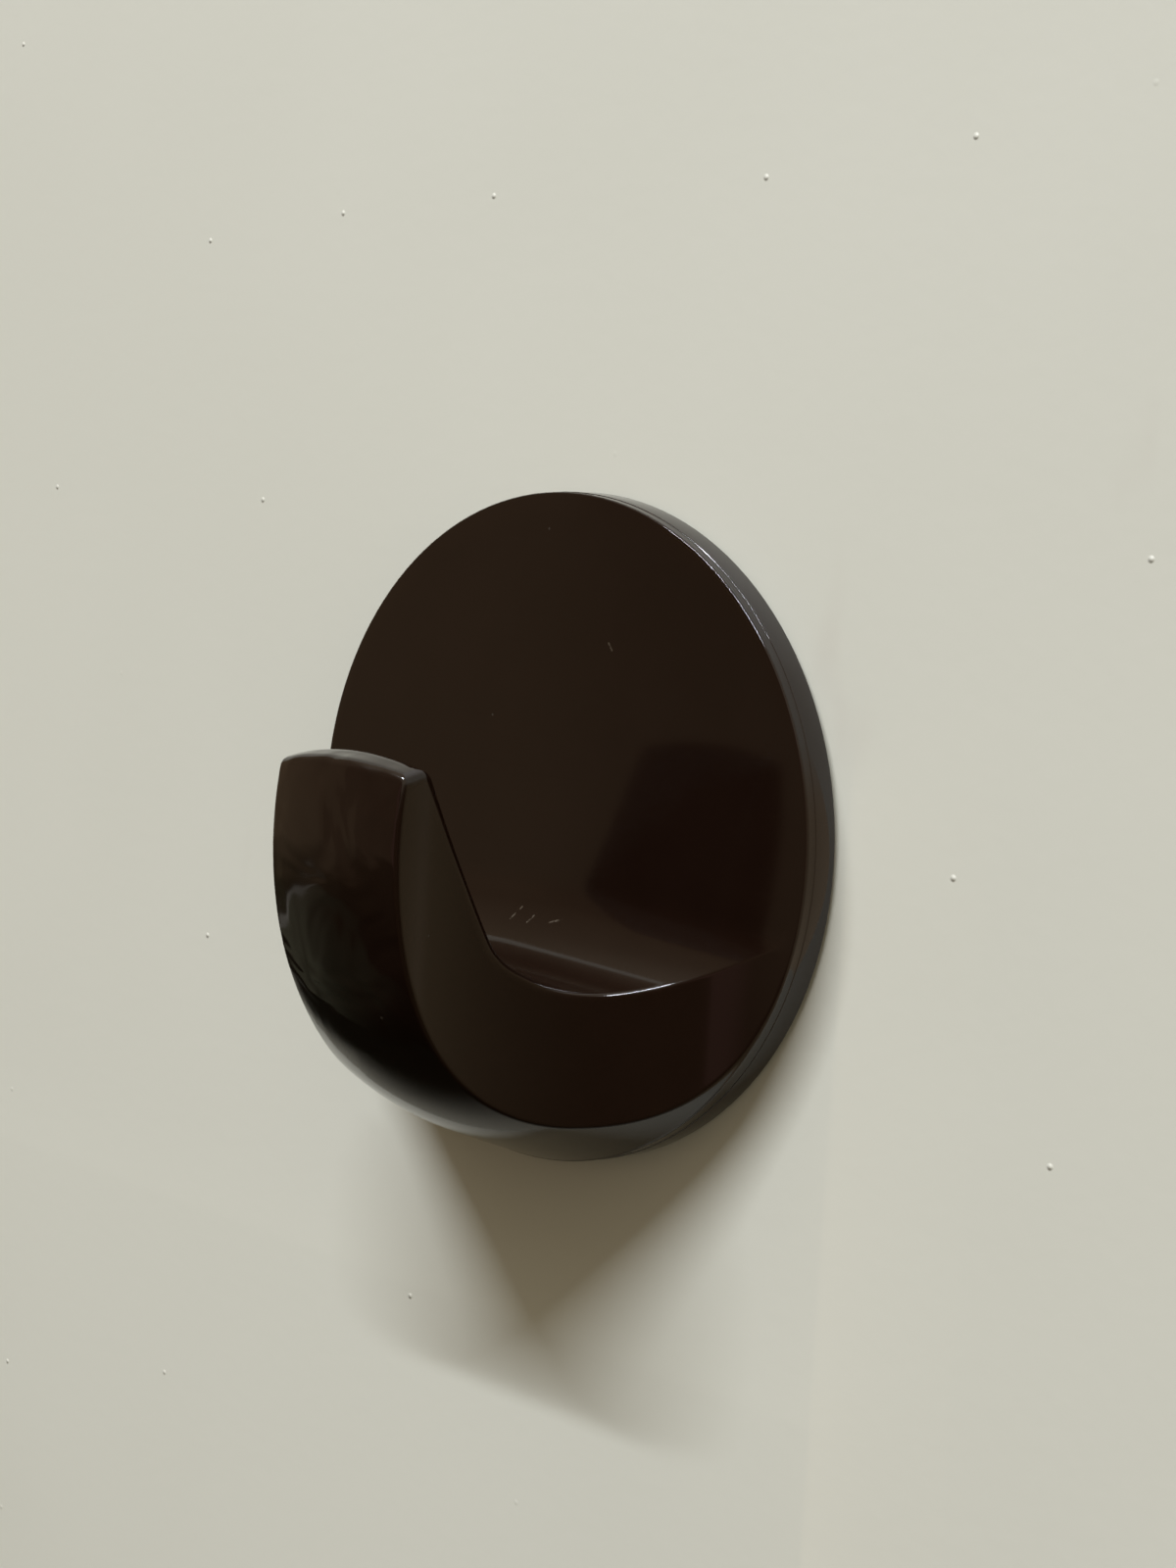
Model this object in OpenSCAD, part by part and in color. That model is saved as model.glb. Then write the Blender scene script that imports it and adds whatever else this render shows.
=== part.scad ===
// Adhesive wall hook: a round plate with a J-shaped hook, moulded in one piece, on a foam pad.
// Millimetres. The wall is the plane y = 0, the hook stands out of it towards -Y, and +Z is up.

/* [Plate] */
// Diameter of the round plate at its back edge
plate_d = 50.2; // [48:0.2:56]
// Thickness of the plate from its back edge to its front face
plate_t = 2.95; // [2.5:0.05:4]
// How much smaller the rim's radius is at the front than at the back
rim_draft = 0.1; // [0.05:0.05:0.3]
// Bevel on the front edge of the plate
edge_bevel = 0.2; // [0.15:0.05:0.4]
// Depth of the recess in the back that holds the pad
recess_depth = 1.0; // [0.6:0.1:1.2]
// Width of the rim left standing around the recess
recess_rim = 2.3; // [1.5:0.1:4]

/* [Hook] */
// How far the hook stands out from the front face of the plate
hook_reach = 21.5; // [20:0.1:22.5]
// Radius of the ball that gives the hook its outer face
ball_r = 24.4; // [23.5:0.05:24.6]
// Width of the prong
prong_w = 13; // [10:0.5:16]
// Radius of the hollow flare that runs each side of the hook out into the plate
flare_r = 18; // [14:0.5:18]
// Height of the tip above the centre of the plate
tip_height = 6.1; // [4:0.1:8]
// Radius of the rounded end of the prong, seen from the front
tip_r = 25; // [15:0.5:30]
// Thickness of the prong at the tip
tip_t = 2.5; // [2:0.1:3]

/* [Channel] */
// Lean of the inner face of the prong, in degrees from upright
prong_lean = 26; // [22:1:28]
// Depth of the lowest line of the floor below the centre of the plate
floor_drop = 9.8; // [8.5:0.1:11]
// Rise of the floor towards the prong, in degrees
floor_rise = 27; // [20:1:30]
// Radius of the fillet between the plate and the floor
plate_fillet = 6.1; // [5:0.1:6.5]
// Radius of the fillet between the floor and the prong
prong_fillet = 5; // [3:0.1:5.5]
// Fall of the channel from its middle to each side, in degrees
side_fall = 3; // [1:0.5:5]

/* [Pad] */
// Gap between the pad and the wall of the recess
pad_gap = 0.5; // [0.3:0.1:1]
// Thickness of the foam
foam_t = 1.1; // [1.1:0.1:1.5]
// Thickness of each adhesive film
film_t = 0.1; // [0.06:0.01:0.2]

/* [Hidden] */

$fn = 96;

// Radii
plate_r = plate_d / 2;
front_r = plate_r - rim_draft;
recess_r = plate_r - recess_rim;
pad_r = recess_r - pad_gap;

// Distances out from the wall
pad_t = foam_t + 2 * film_t;
back_h = pad_t - recess_depth;
front_h = back_h + plate_t;
ball_h = front_h + hook_reach - ball_r;

// The hook is rooted this deep in the plate, and its fillets run this far in through the front face
root_depth = 0.9;
blend_depth = 0.1;

// How far two shapes that touch are drawn into each other, so that they cross cleanly
bite = 0.02;

// A length that reaches past the whole part
past = 2 * plate_d;

// Inner face of the prong: how far out from the front face it lies, at the tip and level with the centre
tip_set_back = ball_r - sqrt(ball_r * ball_r - tip_height * tip_height);
inner_tip_out = hook_reach - tip_set_back - tip_t;
inner_out = inner_tip_out - tip_height * tan(prong_lean);

// Centre of the fillet at the plate, up from the centre of the plate and out from the front face
fillet_up = plate_fillet - floor_drop;
fillet_out = plate_fillet - blend_depth;

// Floor line, which touches the fillet at the plate: its height where it reaches the front face
floor_up = fillet_up - plate_fillet / cos(floor_rise) - fillet_out * tan(floor_rise);

// Centre of the fillet at the prong, which touches the floor line and the inner face of the prong
corner_floor_up = floor_up + prong_fillet / cos(floor_rise);
corner_face_out = inner_out - prong_fillet / cos(prong_lean);
corner_up = (corner_floor_up + corner_face_out * tan(floor_rise))
    / (1 - tan(prong_lean) * tan(floor_rise));
corner_out = corner_face_out + corner_up * tan(prong_lean);

// Turns the drawing frame, with X right, Y up and Z out of the wall, into the part's own frame
module on_wall() {
    rotate([90, 0, 0]) children();
}

// Extrudes a side view, drawn as [up, out], across the part
module across() {
    rotate([90, 0, 90])
        translate([0, 0, -past / 2])
            linear_extrude(past) children();
}

// Extrudes a view from above, drawn as [right, out], over the height of the part
module upright() {
    rotate([90, 0, 0])
        translate([0, 0, -past / 2])
            linear_extrude(past) children();
}

// Flat disc of the pad, starting at a distance out of the wall
module pad_layer(from_h, thickness) {
    on_wall() translate([0, 0, from_h]) cylinder(r = pad_r, h = thickness);
}

// Round plate with a drafted rim, a bevelled front edge and the recess for the pad
module plate() {
    difference() {
        rotate_extrude()
            polygon([
                [0, back_h],
                [plate_r, back_h],
                [front_r, front_h - edge_bevel],
                [front_r - edge_bevel, front_h],
                [0, front_h],
            ]);
        cylinder(r = recess_r, h = pad_t);
    }
}

// The hook seen from above: a straight prong with a hollow flare on each side
module hook_plan() {
    side = prong_w / 2;
    root_h = front_h - root_depth;
    flare_h = front_h + flare_r - blend_depth;
    translate([-side - bite, root_h]) square([prong_w + 2 * bite, past]);
    for (turned = [0, 1])
        mirror([turned, 0])
            difference() {
                translate([0, root_h]) square([side + flare_r, flare_h - root_h]);
                translate([side + flare_r, flare_h]) circle(r = flare_r);
            }
}

// The channel between the plate and the prong seen from the side, open at the top
module channel_side() {
    translate([0, front_h]) {
        polygon([
            [fillet_up, -blend_depth],
            [fillet_up - plate_fillet * cos(floor_rise), fillet_out + plate_fillet * sin(floor_rise)],
            [corner_up - prong_fillet * cos(floor_rise), corner_out + prong_fillet * sin(floor_rise)],
            [corner_up - prong_fillet * sin(prong_lean), corner_out + prong_fillet * cos(prong_lean)],
            [past, inner_out + past * tan(prong_lean)],
            [past, -blend_depth],
        ]);
        translate([fillet_up, fillet_out]) circle(r = plate_fillet + bite);
        translate([corner_up, corner_out]) circle(r = prong_fillet + bite);
    }
}

// Everything above the rounded end of the prong
module above_tip() {
    linear_extrude(past)
        difference() {
            translate([-past / 2, 0]) square([past, past]);
            translate([0, tip_height - tip_r]) circle(r = tip_r);
        }
}

// The J: a ball trimmed to its flared sides and cut by the channel and by the end of the prong.
// The channel falls to each side, as the two halves of the mould draw out of it sideways.
module hook() {
    difference() {
        intersection() {
            translate([0, 0, ball_h]) sphere(r = ball_r);
            upright() hook_plan();
        }
        for (fall = [-side_fall, side_fall])
            rotate([0, 0, fall]) across() channel_side();
        above_tip();
    }
}

// Plate and hook, moulded together
module hook_body() {
    color([0.12, 0.09, 0.07])
        on_wall()
            union() {
                plate();
                hook();
            }
}

// Film that bonds the foam to the floor of the recess
module plate_side_adhesive() {
    color([0.85, 0.82, 0.7]) pad_layer(film_t + foam_t, film_t);
}

// Closed-cell foam disc
module foam_core() {
    color([0.93, 0.93, 0.9]) pad_layer(film_t, foam_t);
}

// Film that bonds the foam to the wall
module wall_side_adhesive() {
    color([0.85, 0.82, 0.7]) pad_layer(0, film_t);
}

hook_body();
plate_side_adhesive();
foam_core();
wall_side_adhesive();
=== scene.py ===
"""A round adhesive wall hook in dark brown gloss plastic, stuck to a painted wall.

Sizes are in millimetres as x to the right, d out from the front face of the plate, and z up,
and become metres in the part's own frame: the wall is y = 0 and the hook stands out towards -Y.
"""

import bpy
import numpy as np
from mathutils import Matrix


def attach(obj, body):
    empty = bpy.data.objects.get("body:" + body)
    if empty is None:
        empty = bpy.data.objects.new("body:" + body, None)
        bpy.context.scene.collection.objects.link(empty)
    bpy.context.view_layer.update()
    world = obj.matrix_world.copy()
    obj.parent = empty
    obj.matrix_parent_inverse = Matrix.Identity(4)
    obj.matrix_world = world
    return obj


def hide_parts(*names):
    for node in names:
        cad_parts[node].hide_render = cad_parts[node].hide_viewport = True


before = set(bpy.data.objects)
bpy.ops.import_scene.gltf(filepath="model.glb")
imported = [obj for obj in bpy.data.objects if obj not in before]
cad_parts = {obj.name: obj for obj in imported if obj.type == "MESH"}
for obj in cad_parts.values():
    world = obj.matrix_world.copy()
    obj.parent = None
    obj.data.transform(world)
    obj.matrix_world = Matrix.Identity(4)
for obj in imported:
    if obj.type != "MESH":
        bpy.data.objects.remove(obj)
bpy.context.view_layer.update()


# Adhesive film on the wall side
# A die-cut disc of pale amber acrylic adhesive, a tenth of a millimetre thick, rolled onto the foam.
# It bonds the pad to the wall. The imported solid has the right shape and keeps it.


class Shade:
    """One output of a material's nodes: arithmetic adds Math nodes, and node() adds any other node."""

    def __init__(self, tree, socket=None):
        self.tree = tree
        self.socket = socket

    def node(self, kind, settings=None, values=None, out=0):
        """A node of that kind with its settings made first and its sockets then set or linked."""
        made = self.tree.nodes.new(kind)
        for name, value in (settings or {}).items():
            if name == "stops":
                ramp = made.color_ramp.elements
                while len(ramp) < len(value):
                    ramp.new(0.5)
                for stop, (place, colour) in zip(ramp, value):
                    stop.position = place
                    stop.color = (*colour, 1)
            else:
                setattr(made, name, value)
        for name, value in (values or {}).items():
            if isinstance(value, Shade):
                self.tree.links.new(value.socket, made.inputs[name])
            else:
                made.inputs[name].default_value = value
        return Shade(self.tree, made.outputs[out])

    def maths(self, operation, *terms):
        return self.node("ShaderNodeMath", {"operation": operation}, dict(enumerate(terms)))

    def __add__(self, other):
        return self.maths("ADD", self, other)

    def __sub__(self, other):
        return self.maths("SUBTRACT", self, other)

    def __rsub__(self, other):
        return self.maths("SUBTRACT", other, self)

    def __mul__(self, other):
        return self.maths("MULTIPLY", self, other)

    def __truediv__(self, other):
        return self.maths("DIVIDE", self, other)

    __radd__ = __add__
    __rmul__ = __mul__

    def split(self):
        """The X, Y and Z of this vector."""
        parts = self.node("ShaderNodeSeparateXYZ", None, {"Vector": self}).socket.node.outputs
        return [Shade(self.tree, part) for part in parts]

    def mapped(self, **values):
        """This vector turned or scaled."""
        return self.node("ShaderNodeMapping", None, {"Vector": self, **values})

    def ease(self, low, high):
        """0 below low, 1 above high, and a smooth step between."""
        return self.node(
            "ShaderNodeMapRange",
            {"interpolation_type": "SMOOTHSTEP"},
            {"Value": self, "From Min": low, "From Max": high},
        )

    def noise(self, place, scale, detail=2.0, rough=0.5, warp=0.0):
        return self.node(
            "ShaderNodeTexNoise",
            None,
            {"Vector": place, "Scale": scale, "Detail": detail, "Roughness": rough, "Distortion": warp},
        )

    def cells(self, place, scale, dimensions="3D", out="Distance"):
        """Close-packed cells: the distance to the middle of each, or its own random colour."""
        return self.node(
            "ShaderNodeTexVoronoi",
            {"voronoi_dimensions": dimensions},
            {"Vector": place, "Scale": scale},
            out=out,
        )

    def blend(self, first, second):
        """The first colour where this value is 0 and the second where it is 1."""
        return self.node(
            "ShaderNodeMix", {"data_type": "RGBA"}, {0: self, 6: first, 7: second}, out=2
        )

    def bump(self, distance, strength=1.0):
        """Normal of a surface that stands out by the distance where this height is 1."""
        return self.node(
            "ShaderNodeBump", None, {"Height": self, "Strength": strength, "Distance": distance}
        )


def finish_named(name, build):
    """A material whose surface is what build returns: its Principled values, numbers or shades."""
    made = bpy.data.materials.new(name)
    made.use_nodes = True
    tree = made.node_tree
    tree.nodes.clear()
    start = Shade(tree)
    place = start.node("ShaderNodeTexCoord", out="Object")
    surface = start.node("ShaderNodeBsdfPrincipled", None, build(start, place))
    tree.links.new(surface.socket, tree.nodes.new("ShaderNodeOutputMaterial").inputs["Surface"])
    return made


def adhesive_film(start, place):
    """Amber film: cloudy where it is thicker, with small trapped air bubbles and fine drag lines."""
    cloud = start.noise(place, 130, 4, 0.6)
    drag = start.noise(place.mapped(Scale=(1, 1, 0.06)), 2600, 3)
    trapped = (1 - start.cells(place, 420).ease(0.10, 0.16)) * cloud.ease(0.5, 0.62)
    colour = cloud.ease(0.3, 0.7).blend((0.56, 0.48, 0.31, 1), (0.68, 0.62, 0.46, 1))
    colour = trapped.blend(colour, (0.8, 0.77, 0.68, 1))
    height = cloud * 0.6 + drag * 0.15 + trapped * 0.5
    return {
        "Base Color": colour,
        "Roughness": 0.24 + cloud * 0.3,
        "Normal": height.bump(0.00006, strength=0.5),
        "Coat Weight": 0.35,
        "Coat Roughness": 0.12,
    }


adhesive = finish_named("amber adhesive", adhesive_film)
wall_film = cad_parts["wall_side_adhesive"]
wall_film.data.materials.clear()
wall_film.data.materials.append(adhesive)


# Foam core
# A disc of white closed-cell foam, die-cut together with its films. The cut opens the cells round its
# edge, and the weight of the hook squeezes that edge out a little in the middle.


def grid_piece(name, points, faces, finish):
    """A smooth mesh piece: points in metres as an array, faces as lists of point numbers."""
    mesh = bpy.data.meshes.new(name)
    mesh.from_pydata(points.tolist(), [], faces)
    mesh.shade_smooth()
    mesh.materials.append(finish)
    made = bpy.data.objects.new(name, mesh)
    bpy.context.scene.collection.objects.link(made)
    return made


def closed_grid(points):
    """Points and faces of a grid of rings: each ring is closed, points that coincide become one, and
    faces that collapse on them are dropped or become triangles."""
    rows, columns = points.shape[:2]
    flat = points.reshape(-1, 3)
    _, first, same = np.unique(
        np.round(flat * 1e8).astype(np.int64), axis=0, return_index=True, return_inverse=True
    )
    number = same.reshape(rows, columns)
    after = np.roll(number, -1, axis=1)
    quads = np.stack([number[:-1], after[:-1], after[1:], number[1:]], axis=-1).reshape(-1, 4)
    kept = [list(dict.fromkeys(quad)) for quad in quads.tolist()]
    return flat[first], [face for face in kept if len(face) > 2]


def foam_disc(radius, low, high, bulge, turns):
    """A disc between two heights: its edge stands out by a half sine of the height, and wavers with
    the angle by two small sines, as a die leaves it. Its rings run from face to face."""
    lift = np.array([0, 0, 0, 0, 0.04, 0.15, 0.3, 0.5, 0.7, 0.85, 0.96, 1, 1, 1, 1])
    reach = np.array([0, 0.4, 0.8, 0.985, 1, 1, 1, 1, 1, 1, 1, 0.985, 0.8, 0.4, 0])
    angle = np.linspace(0, 2 * np.pi, turns, endpoint=False)
    waver = 0.02 * np.sin(23 * angle) + 0.015 * np.sin(41 * angle + 1)
    edge = radius + bulge * np.sin(np.pi * lift)[:, None] + waver
    far = reach[:, None] * edge
    height = (low + (high - low) * lift)[:, None] + 0 * angle
    return np.stack([far * np.cos(angle), -height, far * np.sin(angle)], axis=-1) / 1000


def white_foam(start, place):
    """Foam: close-packed cells of two sizes, open and shadowed where the die cut them."""
    cell = start.cells(place, 4200) * 0.7 + start.cells(place, 9500) * 0.3
    grime = start.noise(place, 240, 3)
    colour = cell.ease(0.05, 0.6).blend((0.58, 0.56, 0.5, 1), (0.82, 0.81, 0.76, 1))
    colour = (grime.ease(0.55, 0.75) * 0.35).blend(colour, (0.6, 0.55, 0.44, 1))
    return {
        "Base Color": colour,
        "Roughness": 0.82 + cell * 0.12,
        "Normal": cell.bump(0.00012, strength=0.8),
    }


film_t = 0.1
foam_t = 1.1
foam_r = 22.16
foam_bulge = 0.1
foam_rings = foam_disc(foam_r, film_t, film_t + foam_t, foam_bulge, turns=240)
foam = grid_piece("foam_pad", *closed_grid(foam_rings), finish_named("white foam", white_foam))
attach(foam, "root")
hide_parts("foam_core")


# Adhesive film on the plate side
# The same film on the other face of the foam, bonded into the recess behind the plate.

plate_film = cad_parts["plate_side_adhesive"]
plate_film.data.materials.clear()
plate_film.data.materials.append(adhesive)


# Hook body
# One injection moulding in dark brown gloss plastic: a round plate with a recessed back, and a J-shaped
# hook that flares into it. The tool parts just behind the plate's front edge and leaves a fine step.

# The front face's distance from the wall, and the rim's radius and rounding at the front
front_h = 3.25
rim_r = 24.96
rim_edge = 0.18


def eased_profile(corners, radii, steps):
    """A turned profile with each corner eased by the arc of its radius that touches both sides."""
    back = corners[:-2] - corners[1:-1]
    ahead = corners[2:] - corners[1:-1]
    back = back / np.linalg.norm(back, axis=1, keepdims=True)
    ahead = ahead / np.linalg.norm(ahead, axis=1, keepdims=True)
    middle = back + ahead
    middle = middle / np.linalg.norm(middle, axis=1, keepdims=True)
    half = np.arccos(np.sum(back * middle, axis=1))
    centre = corners[1:-1] + middle * (radii / np.sin(half))[:, None]
    arm = corners[1:-1] + back * (radii / np.tan(half))[:, None] - centre
    side = np.sign(back[:, 0] * ahead[:, 1] - back[:, 1] * ahead[:, 0])
    turn = -side[:, None] * (np.pi - 2 * half)[:, None] * np.linspace(0, 1, steps)
    far = centre[:, :1] + arm[:, :1] * np.cos(turn) - arm[:, 1:] * np.sin(turn)
    out = centre[:, 1:] + arm[:, :1] * np.sin(turn) + arm[:, 1:] * np.cos(turn)
    arcs = np.stack([far.ravel(), out.ravel()], axis=1)
    return np.concatenate([corners[:1], arcs, corners[-1:]])


def rolled_edge(a, along_a, b, along_b, radius):
    """Where two faces meet: the larger of their two distances, rounded as by a ball of that radius
    rolled along the edge. Each face is its distance, below 0 in the plastic, and its unit normal."""
    lean = np.sum(along_a * along_b, axis=0)
    spread = np.maximum(1 - lean * lean, 1e-6)
    near_a = a + radius
    near_b = b + radius
    share_a = (near_a - lean * near_b) / spread
    share_b = (near_b - lean * near_a) / spread
    on_ball = (share_a > 0) & (share_b > 0)
    reach = np.sqrt(
        np.maximum((near_a * near_a + near_b * near_b - 2 * lean * near_a * near_b) / spread, 1e-12)
    )
    distance = np.where(on_ball, reach - radius, np.maximum(a, b))
    along = np.where(
        on_ball, (share_a * along_a + share_b * along_b) / reach, np.where(a > b, along_a, along_b)
    )
    return distance, along


apex_d = 21.45
crown_r = 27.26
crown_turn = np.radians(18.2)
shoulder_r = 22.55
foot_draft = np.radians(20)


def outer_face(x, d, z):
    """Outer face, turned about the axis of the plate: a flat crown arc, a tighter shoulder arc that
    touches it, and a straight drafted foot."""
    far = np.maximum(np.hypot(x, z), 1e-9)
    crown_d = apex_d - crown_r
    shoulder_far = (crown_r - shoulder_r) * np.sin(crown_turn)
    shoulder_d = crown_d + (crown_r - shoulder_r) * np.cos(crown_turn)
    at_crown = np.arctan2(far, d - crown_d)
    at_shoulder = np.arctan2(far - shoulder_far, d - shoulder_d)
    on_crown = at_crown < crown_turn
    turn = np.where(on_crown, at_crown, np.minimum(at_shoulder, np.pi / 2 - foot_draft))
    side, ahead = np.sin(turn), np.cos(turn)
    distance = np.where(
        on_crown,
        np.hypot(far, d - crown_d) - crown_r,
        (far - shoulder_far) * side + (d - shoulder_d) * ahead - shoulder_r,
    )
    return distance, np.stack([side * x / far, ahead, side * z / far])


prong_half = 6.52
flare_r = 18.1
flare_x = prong_half + flare_r


def side_face(x, d):
    """Side faces: upright on the prong, then a hollow arc that runs out level into the plate."""
    across = np.abs(x)
    off_x = across - flare_x
    off_d = d - flare_r
    reach = np.maximum(np.hypot(off_x, off_d), 1e-9)
    hollow = (off_x < 0) & (off_d < 0)
    upright = off_d >= 0
    distance = np.where(hollow, flare_r - reach, np.where(upright, across - prong_half, d))
    along_x = np.where(hollow, -off_x / reach, np.where(upright, 1.0, 0.0)) * np.sign(x)
    along_d = np.where(hollow, -off_d / reach, np.where(upright, 0.0, 1.0))
    return distance, np.stack([along_x, along_d, 0 * along_x])


tip_z = 6.2
tip_d = 18.4
tip_r = 25.0
tip_slope = np.radians(13)
far_inside = -9.0


def tip_face(x, d, z):
    """End of the prong: a shallow arc across its width that slopes down to the front. Below the middle
    of the plate it is out of reach, so everything there counts as far inside."""
    up = np.maximum(z + tip_r - tip_z, 1e-3)
    reach = np.hypot(x, up)
    rise, ahead = np.cos(tip_slope), np.sin(tip_slope)
    distance = (reach - tip_r) * rise + (d - tip_d) * ahead
    along = np.stack([rise * x / reach, ahead + 0 * x, rise * up / reach])
    return np.where(z > 0, distance, far_inside), along


floor_rise = np.radians(27)
prong_lean = np.radians(25.83)
side_fall = np.tan(np.radians(3))
crown_soft = 3.0
floor_z = -9.82
fillet_r = 6.13
corner_r = 5.0
fillet_z = floor_z + fillet_r
inner_d = 15.23
floor_n = np.array([np.sin(floor_rise), -np.cos(floor_rise)])
inner_n = np.array([np.cos(prong_lean), -np.sin(prong_lean)])
fillet_end = np.array([fillet_r, fillet_z]) + fillet_r * floor_n
corner_z = (
    fillet_end[1]
    - fillet_end[0] * np.tan(floor_rise)
    + corner_r / np.cos(floor_rise)
    + (inner_d - corner_r / np.cos(prong_lean)) * np.tan(floor_rise)
) / (1 - np.tan(prong_lean) * np.tan(floor_rise))
corner_d = inner_d - corner_r / np.cos(prong_lean) + corner_z * np.tan(prong_lean)


def fallen(x):
    """How far the channel has fallen at x: level in the middle, then straight down to each side."""
    return side_fall * (np.sqrt(x * x + crown_soft**2) - crown_soft)


def channel_face(x, d, z):
    """Channel: the face of the plate, a fillet, the rising floor, a round corner and the leaning inner
    face of the prong, all falling to each side."""
    level = z + fallen(x)
    one = np.ones_like(level)
    plate = -d, np.stack([-one, 0 * one])
    floor = (
        (d - fillet_end[0]) * floor_n[0] + (level - fillet_end[1]) * floor_n[1],
        np.stack([floor_n[0] * one, floor_n[1] * one]),
    )
    inner = (
        (d - inner_d) * inner_n[0] + level * inner_n[1],
        np.stack([inner_n[0] * one, inner_n[1] * one]),
    )
    distance, along = rolled_edge(*plate, *floor, fillet_r)
    distance, along = rolled_edge(distance, along, *inner, corner_r)
    slope = along[1] * side_fall * x / np.sqrt(x * x + crown_soft**2)
    size = np.sqrt(1 + slope * slope)
    return -distance / size, -np.stack([slope, along[0], along[1]]) / size


mouth_edge = 1.3
front_edge = 0.9
side_edge = 0.42
tip_corner = 0.8
foot_fillet = 0.6


def moulded_front(points):
    """Front of the moulding: the hook is what lies within its tip, channel, outer face and sides, each
    edge rolled over by its own radius. It stands on the plate with a fillet round its foot, and the rim
    of the plate cuts both."""
    x, d, z = points
    side, tip = side_face(x, d), tip_face(x, d, z)
    hook = rolled_edge(*tip, *channel_face(x, d, z), mouth_edge)
    hook = rolled_edge(*hook, *outer_face(x, d, z), front_edge)
    distance, along = rolled_edge(*hook, *side, side_edge)
    corner, along_corner = rolled_edge(*side, *tip, tip_corner)
    along = np.where(corner > distance, along_corner, along)
    distance = np.maximum(corner, distance)
    level = np.stack([0 * x, 1 + 0 * x, 0 * x])
    distance, along = rolled_edge(-distance, -along, -d, -level, foot_fillet)
    far = np.hypot(x, z)
    outward = np.stack([x, 0 * x, z]) / np.maximum(far, 1e-9)
    return rolled_edge(-distance, -along, far - rim_r, outward, rim_edge)


fillet_run = fillet_r * (np.pi / 2 + floor_rise)
floor_end = np.array([corner_d, corner_z]) + corner_r * floor_n
floor_run = fillet_run + np.hypot(*(floor_end - fillet_end))
corner_run = floor_run + corner_r * (np.pi / 2 - floor_rise - prong_lean)
inner_start_z = corner_z + corner_r * inner_n[1]


def channel_line(run):
    """Point of the channel's middle line, as d and z, at a run along it from the top of the fillet."""
    turn = np.pi + np.minimum(run, fillet_run) / fillet_r
    on_floor = np.clip(run, fillet_run, floor_run) - fillet_run
    bend = floor_rise - np.pi / 2 + np.clip(run - floor_run, 0, corner_run - floor_run) / corner_r
    on_inner = np.maximum(run - corner_run, 0)
    d = np.where(
        run < floor_run,
        fillet_r + fillet_r * np.cos(turn) + on_floor * np.cos(floor_rise),
        corner_d + corner_r * np.cos(bend) + on_inner * np.sin(prong_lean),
    )
    z = np.where(
        run < floor_run,
        fillet_z + fillet_r * np.sin(turn) + on_floor * np.sin(floor_rise),
        corner_z + corner_r * np.sin(bend) + on_inner * np.cos(prong_lean),
    )
    return d, z


# The hook's mesh lines start this far along the channel, and this far out on the outer face. There they
# are laid on a ball first and moved onto the face, straight up near the foot and more freely further out
first_run = 1.12
first_d = 0.2
ball_d = -2.95
ball_r = 24.4
foot_d = 3
foot_run = 5


def tip_height(x):
    """Height of the prong's end at x, level beyond its width."""
    return tip_z - tip_r + np.sqrt(tip_r**2 - np.minimum(np.abs(x), prong_half) ** 2)


def inner_place(share, x):
    """Point of the channel at a share of the way from the plate to the tip."""
    last = corner_run + (tip_height(x) + fallen(x) - inner_start_z) / np.cos(prong_lean)
    d, z = channel_line(first_run + (last - first_run) * share)
    return np.stack([x + 0 * d, d, z - fallen(x)])


def outer_place(share, x):
    """Point of the outer face at a share of the way from the plate to the tip: a point of a ball, moved
    onto the face at the same x, and near the plate at the same d."""
    reach = np.sqrt(np.maximum(ball_r**2 - x * x, 1))
    foot = -np.arccos(np.clip((first_d - ball_d) / reach, -1, 1))
    end = np.arcsin(np.clip(tip_height(x) / reach, -1, 1))
    turn = foot + (end - foot) * share
    place = np.stack([x + 0 * turn, ball_d + reach * np.cos(turn), reach * np.sin(turn)])
    for _ in range(6):
        distance, along = outer_face(*place)
        freed = np.clip((place[1] - foot_d) / foot_run, 0, 1)
        move = along * np.stack([0 * turn, freed, 1 + 0 * turn])
        place = place - distance * move / np.maximum(np.sum(along * move, axis=0), 0.05)
    return place


# Lines lie this far from an edge that they follow. A line up the hook has about this length, and on the
# outer face it lags behind. The rest bound the half widths of the rings and of the tip's middle line
near_edge = np.array([0, 0.05, 0.11, 0.18, 0.27, 0.4, 0.62, 1.0])
line_length = 27
outer_lag = 0.15
first_half = 10.0
widest_inner = 22.75
widest_outer = 22.7
ridge_share = 0.9


def flare_half(d):
    """Half width of the hook between its side faces, at d."""
    return flare_x - np.sqrt(flare_r**2 - (np.clip(d, 0, flare_r) - flare_r) ** 2)


def edge_to_edge(length, count):
    """Places along a line from edge to edge: close together near both edges and even between."""
    ends = near_edge * np.minimum(1, length / (3 * near_edge[-1]))[:, None]
    gap = length[:, None] - 2 * ends[:, -1:]
    middle = ends[:, -1:] + gap * np.linspace(0, 1, count)[1:-1]
    return np.concatenate([ends, middle, length[:, None] - ends[:, ::-1]], axis=1)


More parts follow.
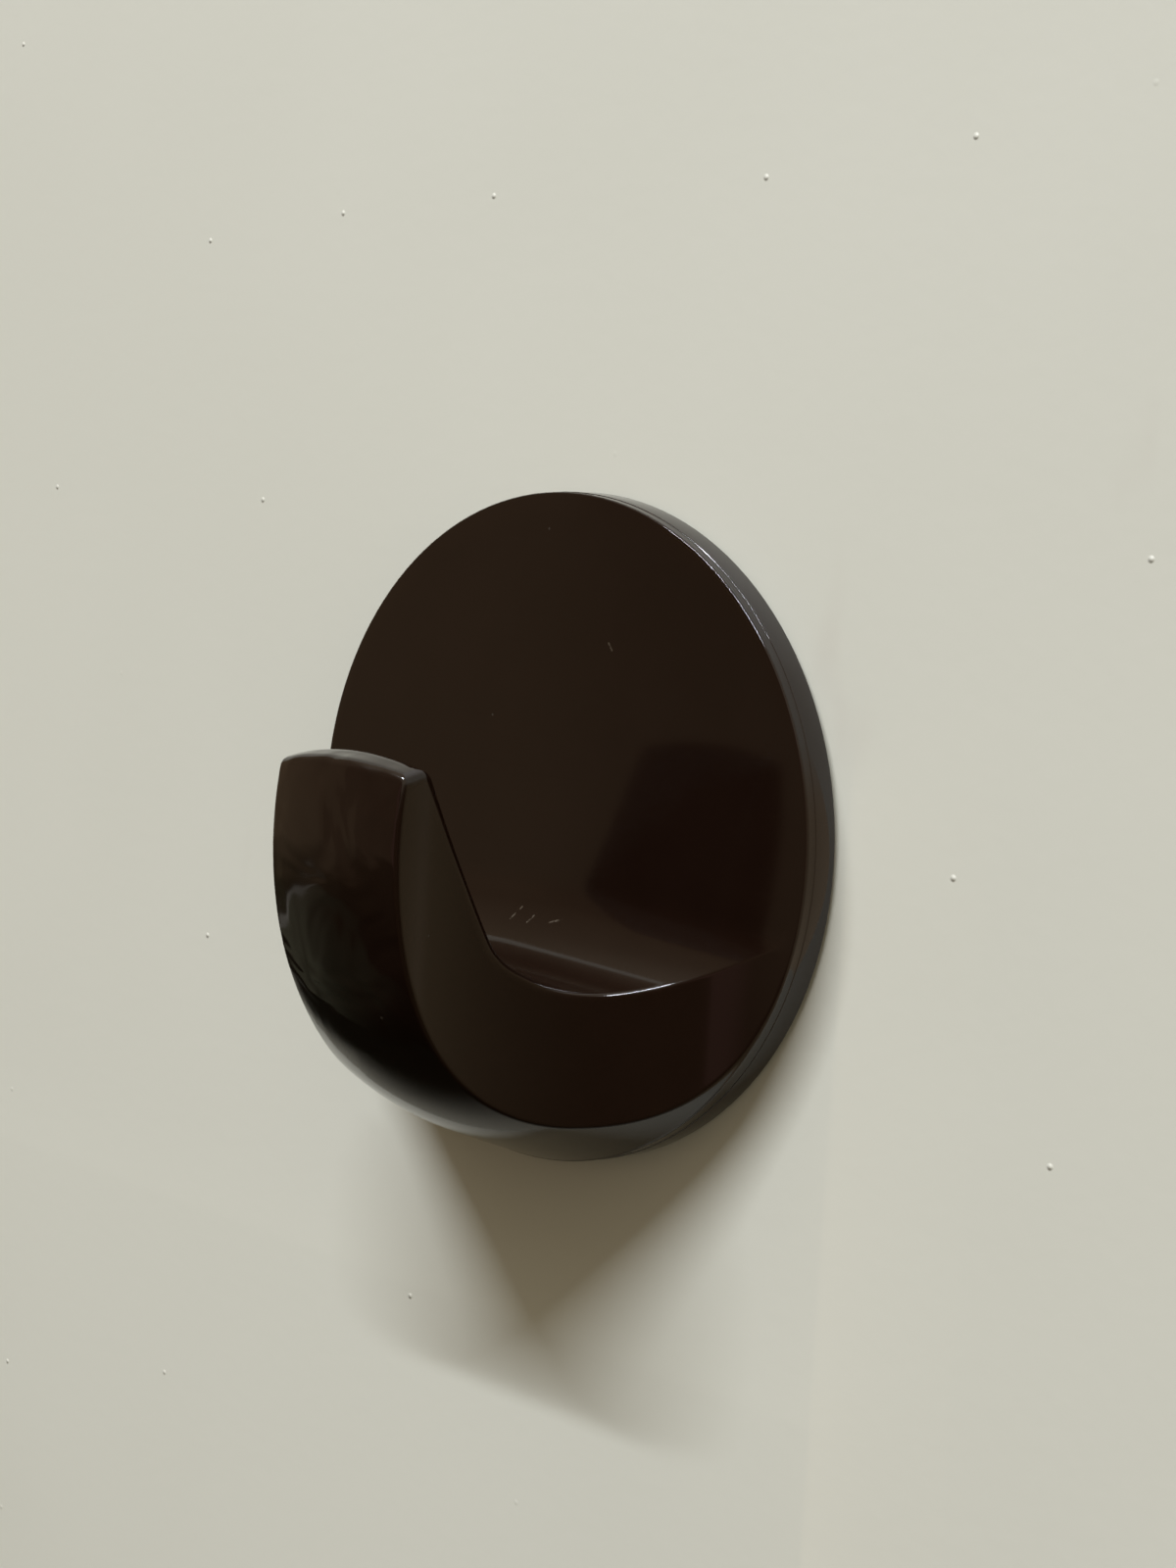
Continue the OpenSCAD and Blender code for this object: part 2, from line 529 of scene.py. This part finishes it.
def hook_rings(face_count, side_count, row_count):
    """Rings round the hook from the plate to the tip, each over the channel, down one side, over the
    outer face and up the other side, and on over the tip to its middle line. The half widths of the
    channel and of the outer face are found by steps: each ends where it meets the flare of the side."""
    near_tip = near_edge / line_length
    share = np.concatenate([np.linspace(0, 1 - near_tip[-1], row_count), 1 - near_tip[-2::-1]])
    lagged = share * (share + outer_lag) / (1 + outer_lag)
    inner_half = np.full_like(share, first_half)
    for _ in range(30):
        half = flare_half(inner_place(share, inner_half)[1])
        inner_half = (inner_half + np.minimum(half, widest_inner)) / 2
    low, high = np.full_like(share, prong_half), np.full_like(share, widest_outer)
    for _ in range(40):
        half = (low + high) / 2
        within = flare_r - np.sqrt(flare_r**2 - (half - flare_x) ** 2) > outer_place(lagged, half)[1]
        low, high = np.where(within, half, low), np.where(within, high, half)
    outer_half = low
    inner = inner_place(share[:, None], edge_to_edge(2 * inner_half, face_count) - inner_half[:, None])
    swing = np.arcsin(outer_half / ball_r)
    spread = edge_to_edge(2 * swing * ball_r, face_count) / ball_r - swing[:, None]
    outer = outer_place(lagged[:, None], ball_r * np.sin(spread))[:, :, ::-1]
    upper, lower = inner[:, :, -1], outer[:, :, 0]
    length = np.sqrt(np.sum((lower - upper) ** 2, axis=0))
    step = (edge_to_edge(length, side_count) / length[:, None])[:, 1:-1]
    side = upper[:, :, None] + (lower - upper)[:, :, None] * step
    side[0] = np.minimum(flare_half(side[1]), side[0])
    other = side[:, :, ::-1] * np.array([-1, 1, 1])[:, None, None]
    rings = np.concatenate([inner, side, outer, other], axis=2)
    side_x = np.full(side.shape[2], inner[0, -1, -1])
    middle_x = ridge_share * np.concatenate([inner[0, -1], side_x, outer[0, -1], -side_x])
    one = np.ones_like(middle_x)
    middle = (inner_place(one, middle_x) + outer_place(one, middle_x)) / 2
    over = np.array([0.08, 0.18, 0.3, 0.45, 0.7, 1.0])[:, None]
    cap = rings[:, -1:] + (middle[:, None] - rings[:, -1:]) * over
    return np.concatenate([rings, cap], axis=1)


face_count = 66
hook = hook_rings(face_count, side_count=14, row_count=96)
root = hook[:, 0]
face_columns = 2 * near_edge.size + face_count - 2
side_columns = root.shape[1] // 2 - face_columns

# The rim angle of each ring line: the channel's lines fan out over the top of the plate, the outer
# face's lines run straight out to the rim below, and each side's lines bridge the gap between them
lower_angle = np.arctan2(root[2], root[0])
right_end = lower_angle[face_columns + side_columns]
upper_end = lower_angle[face_columns - 1] - np.radians(2)
rim_angle = np.concatenate(
    [
        np.pi / 2 + (np.pi / 2 - upper_end) * np.linspace(1, -1, face_columns),
        np.linspace(upper_end, right_end, side_columns + 2)[1:-1],
        lower_angle[face_columns + side_columns : 2 * face_columns + side_columns],
        np.linspace(-np.pi - right_end, -np.pi - upper_end, side_columns + 2)[1:-1],
    ]
)

# The back and the rim, turned: recess, standing edge, drafted rim and the step where the tool parts
recess_r = 22.8
recess_d = -1.95
recess_draft = 0.06
back_r = 25.1
back_d = -2.95
parting_r = 25.03
parting_d = -0.86
parting_step = 0.045
parting_run = 0.03
turned_eases = np.array([0.4, 0.2, 0.15, 0.06, 0.012])
ease_steps = 7
turned = eased_profile(
    np.array(
        [
            [0, recess_d],
            [recess_r, recess_d],
            [recess_r + recess_draft, back_d],
            [back_r, back_d],
            [parting_r, parting_d],
            [parting_r - parting_step, parting_d + parting_run],
            [rim_r, -2 * rim_edge],
        ]
    ),
    turned_eases,
    ease_steps,
)
rim = np.stack(
    [
        turned[:, :1] * np.cos(rim_angle),
        turned[:, 1:] + 0 * rim_angle,
        turned[:, :1] * np.sin(rim_angle),
    ]
)
roll = np.linspace(0, np.pi / 2, ease_steps)[:, None]
edge_far = rim_r - rim_edge + rim_edge * np.cos(roll)
edge = np.stack(
    [
        edge_far * np.cos(rim_angle),
        rim_edge * (np.sin(roll) - 1) + 0 * rim_angle,
        edge_far * np.sin(rim_angle),
    ]
)
front_rows = 20
inward = 1 - (1 - np.linspace(0, 1, front_rows + 2)[1:-1]) ** 1.5
front = edge[:, -1:] + (root[:, None] - edge[:, -1:]) * inward[:, None]


def settled(points, rounds):
    """Points carried onto the moulded front: each round moves them along its normal by their distance
    from it."""
    for _ in range(rounds):
        distance, along = moulded_front(points)
        points = points - distance * along
    return points


def spread_out(points, corners, reach):
    """Points moved half-way to the mean of their four neighbours: fully within the reach of a corner or
    of its mirror image, and less and less out to twice the reach."""
    right = np.stack([np.abs(points[0]), points[1], points[2]])
    away = np.linalg.norm(right[..., None] - corners.T[:, None, None], axis=0).min(axis=2)
    weight = np.clip(2 - away / reach, 0, 1)
    beside = np.roll(points, 1, axis=2) + np.roll(points, -1, axis=2)
    mean = (beside[:, 1:-1] + points[:, :-2] + points[:, 2:]) / 4
    inside = points[:, 1:-1] + (mean - points[:, 1:-1]) * weight[1:-1] / 2
    return np.concatenate([points[:, :1], inside, points[:, -1:]], axis=1)


# The ring lines crowd where three edges meet, at the tip and where the channel runs out into the plate
crowded = np.array([[6.3, 20.05, 4.85], [6.25, 18.53, 5.27], [22.69, 0.1, -5.85]])
crowded_reach = 0.3
moulded = settled(np.concatenate([edge, front, hook], axis=1), rounds=12)
for _ in range(40):
    moulded = settled(spread_out(moulded, crowded, crowded_reach), rounds=3)
body = np.concatenate([rim, moulded], axis=1)
body_points = np.stack([body[0], -front_h - body[1], body[2]], axis=-1) / 1000

nick_ends = [
    ((-0.0019, -0.0071), (-0.0012, -0.00616)),
    ((-0.00009, -0.00712), (0.00029, -0.00662)),
    ((0.00204, -0.00689), (0.00303, -0.00653)),
    ((0.0056, 0.0141), (0.00595, 0.0136)),
]


def nick(x, z, first, last):
    """1 along a short straight scratch in the plate, from the first to the last x and z in metres, and 0
    away from it."""
    run = np.subtract(last, first)
    share = ((x - first[0]) * run[0] + (z - first[1]) * run[1]) / (run @ run)
    share = x.maths("MINIMUM", x.maths("MAXIMUM", share, 0), 1)
    off_x = x - first[0] - share * run[0]
    off_z = z - first[1] - share * run[1]
    return 1 - x.maths("SQRT", off_x * off_x + off_z * off_z).ease(0.00004, 0.0001)


def brown_plastic(start, place):
    """Moulded plastic: deep brown throughout, glossy, faintly hazed by handling. The prong sank a little
    as it cooled, so its gloss wavers. Wiping left fine scratches and dust, and use a few nicks."""
    haze = start.noise(place, 90, 4, 0.6)
    x, y, z = place.split()
    sideways, _, _ = start.node("ShaderNodeNewGeometry", out="Normal").split()
    prong_front = (1 - y.ease(-0.022, -0.017)) * (1 - (sideways * sideways).ease(0.2, 0.5))
    sink = start.noise(place, 190, 1.5, 0.5, 0.6) * prong_front
    wiped = place.mapped(Rotation=(0, 0.6, 0), Scale=(0.02, 1, 1))
    scratch = start.noise(wiped, 5200, 2, 0.5, 0.3).ease(0.63, 0.72)
    dust = 1 - start.cells(place, 460).ease(0.03, 0.06)
    speck = dust * start.noise(place, 300, 1).ease(0.6, 0.66)
    nicks = sum(nick(x, z, first, last) for first, last in nick_ends)
    worn = nicks * y.ease(-0.009, -0.007) * start.noise(place, 2600, 1).ease(0.38, 0.6)
    colour = haze.ease(0.3, 0.7).blend((0.0075, 0.0033, 0.0019, 1), (0.0087, 0.004, 0.0024, 1))
    colour = worn.blend(colour, (0.055, 0.042, 0.029, 1))
    height = sink * 1.4 + scratch * 0.0006 + speck * 0.004
    return {
        "Base Color": (speck * 0.5).blend(colour, (0.09, 0.08, 0.065, 1)),
        "Roughness": 0.075 + haze * 0.05 + scratch * 0.05 + speck * 0.4 + worn * 0.3,
        "IOR": 1.46,
        "Normal": height.bump(0.0003),
    }


hook_body = grid_piece(
    "hook_moulding", *closed_grid(body_points), finish_named("brown plastic", brown_plastic)
)
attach(hook_body, "root")
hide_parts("hook_body")


# Wall
# A flat wall in off-white satin paint. It is open behind the plate, and clear from behind, so that the
# back of the part can be seen.

wall_y = 0.0001
wall_hole = 0.0245
wall_reach = 2.5


def wall_sheet(turns, rows):
    """A flat ring: circles that shrink by a power law from the wall's reach to its hole's radius."""
    far = wall_hole * (wall_reach / wall_hole) ** np.linspace(1, 0, rows)[:, None]
    angle = np.linspace(0, 2 * np.pi, turns, endpoint=False)
    return np.stack([far * np.cos(angle), wall_y + 0 * far + 0 * angle, far * np.sin(angle)], axis=-1)


def satin_paint(start, place):
    """Satin paint: even off-white with a faint roller texture, a few nibs dried into it and faint
    smudges. A nib stands at the middle of a cell, in the cells whose random colour is light."""
    cloud = start.noise(place, 14, 3)
    roller = start.noise(place, 700, 3)
    flat = place.mapped(Rotation=(np.pi / 2, 0, 0))
    near = start.cells(flat, 46, "2D")
    chosen = start.cells(flat, 46, "2D", out="Color")
    nib = (1 - near.ease(0.001, 0.013)) * chosen.ease(0.5, 0.7)
    smudge = start.noise(flat.mapped(Scale=(1, 0.35, 1)), 60, 3, 0.6).ease(0.66, 0.82)
    colour = cloud.ease(0.35, 0.65).blend((0.612, 0.612, 0.526, 1), (0.628, 0.628, 0.542, 1))
    colour = (smudge * 0.5).blend(colour, (0.53, 0.5, 0.43, 1))
    height = roller * 0.06 + nib * 0.45
    return {
        "Base Color": colour,
        "Roughness": 0.42 + roller * 0.1,
        "Normal": height.bump(0.0002),
    }


paint = finish_named("satin wall paint", satin_paint)
paint_out = paint.node_tree.nodes["Material Output"].inputs["Surface"]
paint_start = Shade(paint.node_tree)
seen = paint_start.node(
    "ShaderNodeMixShader",
    None,
    {
        0: paint_start.node("ShaderNodeNewGeometry", out="Backfacing"),
        1: Shade(paint.node_tree, paint_out.links[0].from_socket),
        2: paint_start.node("ShaderNodeBsdfTransparent"),
    },
)
paint.node_tree.links.new(seen.socket, paint_out)
wall = grid_piece("wall", *closed_grid(wall_sheet(turns=128, rows=14)), paint)


# Light
# One long, thin strip lamp above and in front of the wall, in a dim warm room that is brighter overhead,
# and a soft lamp behind the wall for views of the back. Two glowing cards, one standing to the right and
# one lying below, are seen only in the gloss of the hook: a painted reflection of the room and the wall,
# mostly dark and lighter close to the wall.


def area_lamp(name, length, width, power, stand, back):
    """A lamp whose long side lies as level along X as it can, and that shines away from its back."""
    lamp = bpy.data.lights.new(name, "AREA")
    lamp.shape = "RECTANGLE"
    lamp.size = length
    lamp.size_y = width
    lamp.energy = power
    back = back / np.linalg.norm(back)
    right = np.array([1, 0, 0]) - back * back[0]
    right = right / np.linalg.norm(right)
    axes = np.stack([right, np.cross(back, right), back, stand], axis=1)
    made = bpy.data.objects.new(name, lamp)
    made.matrix_world = Matrix([*axes.tolist(), [0, 0, 0, 1]])
    bpy.context.scene.collection.objects.link(made)
    return made


strip_stand = np.array([0.09, -1.0, 1.475])
strip_lamp = area_lamp("strip lamp", 1.34, 0.036, 48.4, strip_stand, strip_stand)
strip_lamp.data.color = (0.872, 0.914, 1.0)
rear_lamp = area_lamp("rear lamp", 0.5, 0.5, 2.2, np.array([0, 0.5, 0.1]), np.array([0, 1, 0]))
rear_lamp.visible_camera = False

room_bands = [
    (0.0, (0.0, 0.0, 0.0)),
    (0.2, (0.016, 0.014, 0.008)),
    (0.35, (0.05, 0.047, 0.027)),
    (0.38, (0.055, 0.05, 0.026)),
    (0.435, (0.26, 0.19, 0.115)),
    (0.55, (0.26, 0.183, 0.108)),
    (0.65, (0.21, 0.155, 0.092)),
    (1.0, (0.3, 0.25, 0.17)),
]
cream = (0.7, 0.61, 0.46, 1)


def warm_room(start, ray):
    """Light of the room by direction: bands by height, dimmer to the right, reddish straight out from
    the wall, a bench with a light edge to the lower left, and cream overhead and on the right. Where the
    camera sees it, past the wall, the room is plain and pale."""
    x, y, z = ray.split()
    by_height = start.node("ShaderNodeValToRGB", {"stops": room_bands}, {"Fac": z * 0.5 + 0.5})
    to_right = x - y * 0.936
    shaded = 1 - to_right.ease(-0.02, 0.02) * 0.3 - to_right.ease(0.1, 1.2) * 0.35
    light = shaded.blend((0, 0, 0, 1), by_height)
    light = (y * -1).ease(0.94, 0.99).blend(light, (0.24, 0.135, 0.11, 1))
    above_ledge = z - x * 0.7 - 0.57
    beside_bench = (x + z * 0.79).ease(-1.04, -0.96)
    bench = (1 - beside_bench) * (1 - above_ledge.ease(-0.245, -0.225)) * z.ease(-0.8, -0.5)
    bench_top = x.ease(-0.87, -0.7).blend((0.15, 0.15, 0.1, 1), (0.06, 0.068, 0.042, 1))
    light = bench.blend(light, bench_top)
    ledge = above_ledge.ease(-0.255, -0.24) * (1 - above_ledge.ease(-0.225, -0.21))
    light = (ledge * (1 - x.ease(-0.85, -0.79))).blend(light, (0.4, 0.38, 0.33, 1))
    for bright_side in (z + x * 0.6, x + z * 0.5):
        light = bright_side.ease(0.3, 0.7).blend(light, cream)
    return start.node("ShaderNodeLightPath", out="Is Camera Ray").blend(light, (0.8, 0.8, 0.76, 1))


room = bpy.data.worlds.new("dim warm room")
room.use_nodes = True
bpy.context.scene.world = room
room_start = Shade(room.node_tree)
room_light = warm_room(room_start, room_start.node("ShaderNodeTexCoord", out="Generated"))
room.node_tree.links.new(room_light.socket, room.node_tree.nodes["Background"].inputs["Color"])

standing_x = 0.0256
standing_low, standing_high = -0.06, 0.012
standing_front, standing_back = -0.4, -0.0002
lying_z = -0.04
lying_left, lying_right = -0.5, 0.0252
lying_front, lying_back = -0.026, -0.0005


def painted_reflection_card(start, place):
    """Black card that glows in warm colours, faintly far out and brighter close to the wall: a painted
    reflection of the room and the wall, seen only in the hook's gloss. The standing card fades out at
    its top and towards its front."""
    across, depth, height = place.split()
    upright = across.ease(lying_right, standing_x)
    # Painted reflection: each card's glow stands in for what the gloss would show there, a dark room far
    # out and the lit wall close to the wall.
    standing = depth.ease(-0.022, -0.005).blend((0.05, 0.036, 0.018, 1), (0.34, 0.262, 0.152, 1))
    standing = depth.ease(-0.006, -0.0005).blend(standing, (0.6, 0.475, 0.33, 1))
    lying = depth.ease(-0.017, -0.003).blend((0.012, 0.012, 0.007, 1), (0.29, 0.275, 0.225, 1))
    return {
        "Base Color": (0, 0, 0, 1),
        "Roughness": 1.0,
        "Specular IOR Level": 0.0,
        "Emission Color": upright.blend(lying, standing),
        "Emission Strength": 1.0,
        "Alpha": (1 - height.ease(0.003, 0.0115)) * depth.ease(-0.39, -0.04),
    }


# Cards that glow with a painted reflection. The camera, diffuse light and shadows don't see them.
reflection_cards = grid_piece(
    "reflection_cards",
    np.array(
        [
            [standing_x, standing_front, standing_low],
            [standing_x, standing_back, standing_low],
            [standing_x, standing_back, standing_high],
            [standing_x, standing_front, standing_high],
            [lying_left, lying_front, lying_z],
            [lying_right, lying_front, lying_z],
            [lying_right, lying_back, lying_z],
            [lying_left, lying_back, lying_z],
        ]
    ),
    [[3, 2, 1, 0], [4, 5, 6, 7]],
    finish_named("painted reflection card", painted_reflection_card),
)
reflection_cards.visible_camera = False
reflection_cards.visible_diffuse = False
reflection_cards.visible_transmission = False
reflection_cards.visible_shadow = False


# Camera
# At the height of the hook and to its right, held with a slight roll. Its place is given along its own
# axes, right, up and back, in millimetres from the middle of the plate's front face.

camera_place = np.array([3.3744, 3.2175, 176.1032])
camera = bpy.data.cameras.new("camera")
camera.sensor_width = 36
camera.lens = 54
camera.clip_start = 0.005
camera.clip_end = 10
camera_rig = bpy.data.objects.new("camera", camera)
azimuth, height, roll = np.radians(43.075), np.radians(2.039), 0.0779
level = np.array(
    [
        [np.cos(azimuth), np.sin(azimuth), 0],
        [-np.sin(azimuth) * np.sin(height), np.cos(azimuth) * np.sin(height), np.cos(height)],
        [np.sin(azimuth) * np.cos(height), -np.cos(azimuth) * np.cos(height), np.sin(height)],
    ]
)
tilt = np.array([[np.cos(roll), 0, np.sin(roll)], [0, 1, 0], [-np.sin(roll), 0, np.cos(roll)]])
axes = level @ tilt
stand = camera_place @ axes + np.array([0, -front_h, 0])
camera_rig.matrix_world = Matrix(
    [[axes[0][k], axes[1][k], axes[2][k], stand[k] / 1000] for k in range(3)] + [[0, 0, 0, 1]]
)
bpy.context.scene.collection.objects.link(camera_rig)
bpy.context.scene.camera = camera_rig
bpy.context.scene.view_settings.view_transform = "Standard"
